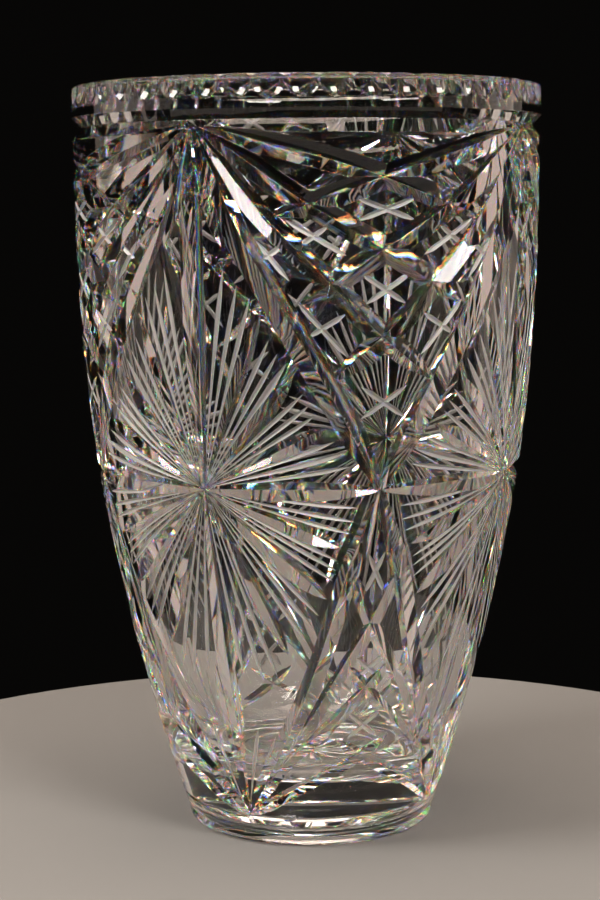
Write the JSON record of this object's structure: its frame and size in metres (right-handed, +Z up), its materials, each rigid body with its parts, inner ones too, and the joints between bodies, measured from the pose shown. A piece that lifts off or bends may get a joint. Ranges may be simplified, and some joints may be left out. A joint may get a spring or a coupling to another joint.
{
  "type": "cut crystal vase",
  "caption": "Tall tapering cut lead-crystal vase with scalloped rim and fanned V-cut stars. Stands on its flat foot and holds water and cut flowers.",
  "frame": {"origin": "centre of the foot's contact face, on the vase's axis", "axes": "+Z up along the vase's axis towards the mouth; -Y runs through one of the four star centres, +X through the next"},
  "size_m": [0.1596, 0.1596, 0.254],
  "materials": {
    "lead_crystal": "acid-polished cut lead crystal, clear and colourless, very bright, strong dispersion in the wide mitres and a slight satin in the fine cuts"
  },
  "bodies": {
    "root": {"vase_body": "lead_crystal"}
  },
  "joints": []
}
